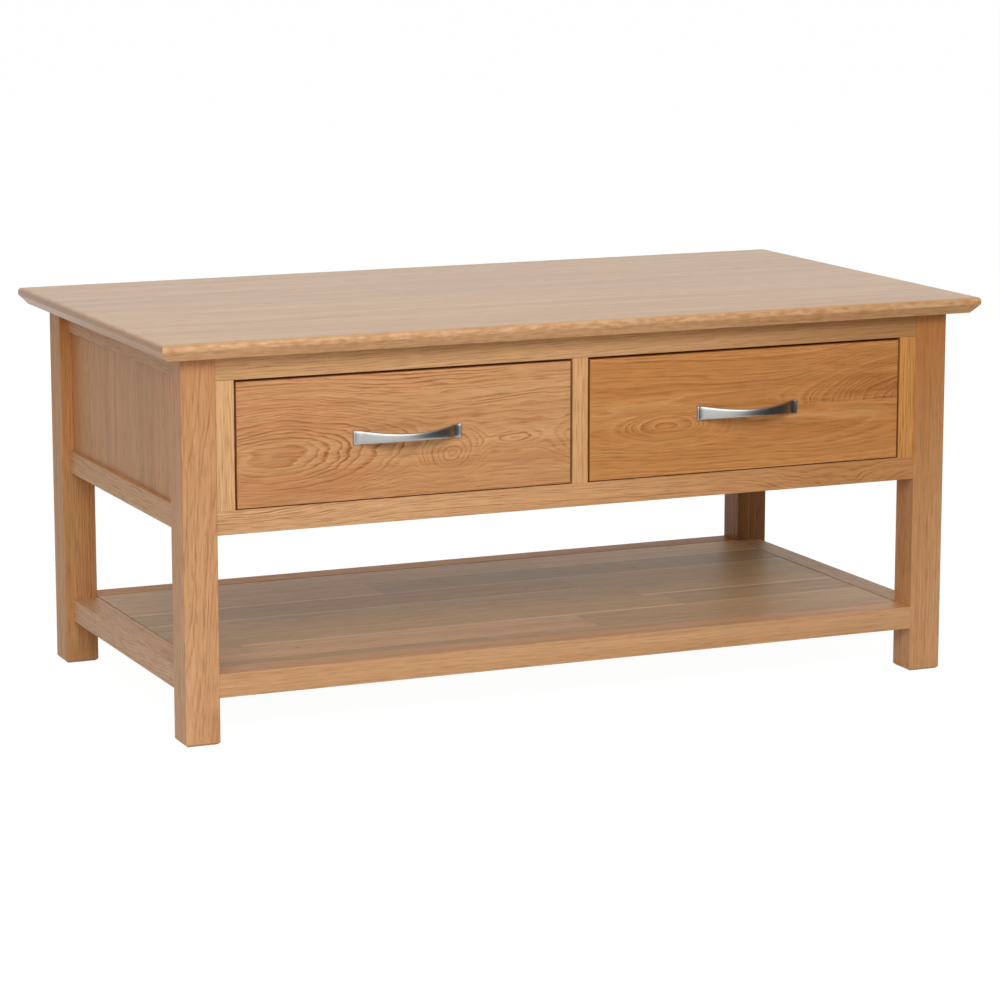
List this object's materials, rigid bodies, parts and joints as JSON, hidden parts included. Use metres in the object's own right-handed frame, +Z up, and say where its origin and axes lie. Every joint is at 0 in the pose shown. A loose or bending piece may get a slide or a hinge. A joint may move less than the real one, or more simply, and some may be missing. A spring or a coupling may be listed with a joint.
{
  "type": "coffee table with drawers",
  "caption": "Rectangular oak coffee table on square legs, with drawers on wooden runners under an overhanging bevelled top and an open shelf below.",
  "frame": {"origin": "on the floor, under the middle of the table top", "axes": "+X along the table to the right of someone facing the drawers, -Y the way the drawers open, +Z up"},
  "size_m": [1.01, 0.545, 0.45],
  "materials": {
    "oak_top": "satin lacquer",
    "oak_frame": "satin lacquer",
    "oak_panel": "satin lacquer",
    "oak_shelf": "satin lacquer",
    "oak_drawer_front": "satin lacquer",
    "drawer_wood": "sealed",
    "runner_wood": "bare planed",
    "birch_plywood": "sealed",
    "satin_nickel": "brushed satin nickel plate",
    "zinc_plated_steel": "bright zinc plate"
  },
  "bodies": {
    "carcass": {"back_lower_rail": "oak_frame", "back_panel": "oak_panel", "back_top_rail": "oak_frame", "centre_muntin": "oak_frame", "drawer_stops": "runner_wood", "front_lower_rail": "oak_frame", "front_stile_left": "oak_frame", "front_stile_right": "oak_frame", "front_top_rail": "oak_frame", "guide_centre": "runner_wood", "guide_left": "runner_wood", "guide_right": "runner_wood", "guide_screws": "zinc_plated_steel", "kicker_centre": "runner_wood", "kicker_left": "runner_wood", "kicker_right": "runner_wood", "leg_back_left": "oak_frame", "leg_back_right": "oak_frame", "leg_front_left": "oak_frame", "leg_front_right": "oak_frame", "runner_centre": "runner_wood", "runner_left": "runner_wood", "runner_right": "runner_wood", "shelf_back_rail": "oak_frame", "shelf_front_rail": "oak_frame", "shelf_panel": "oak_shelf", "shelf_side_rail_left": "oak_frame", "shelf_side_rail_right": "oak_frame", "side_lower_rail_left": "oak_frame", "side_lower_rail_right": "oak_frame", "side_panel_left": "oak_panel", "side_panel_right": "oak_panel", "side_top_rail_left": "oak_frame", "side_top_rail_right": "oak_frame", "table_top": "oak_top", "top_screws": "zinc_plated_steel"},
    "drawer_left": {"drawer_left_back": "drawer_wood", "drawer_left_bottom": "birch_plywood", "drawer_left_bottom_screws": "zinc_plated_steel", "drawer_left_front": "oak_drawer_front", "drawer_left_handle": "satin_nickel", "drawer_left_handle_screws": "zinc_plated_steel", "drawer_left_side_left": "drawer_wood", "drawer_left_side_right": "drawer_wood"},
    "drawer_right": {"drawer_right_back": "drawer_wood", "drawer_right_bottom": "birch_plywood", "drawer_right_bottom_screws": "zinc_plated_steel", "drawer_right_front": "oak_drawer_front", "drawer_right_handle": "satin_nickel", "drawer_right_handle_screws": "zinc_plated_steel", "drawer_right_side_left": "drawer_wood", "drawer_right_side_right": "drawer_wood"}
  },
  "joints": [
    {"name": "left_drawer_slide", "type": "slide", "parent": "carcass", "child": "drawer_left", "axis": [0, -1, 0], "range_m": [0, 0.3]},
    {"name": "right_drawer_slide", "type": "slide", "parent": "carcass", "child": "drawer_right", "axis": [0, -1, 0], "range_m": [0, 0.3]}
  ]
}
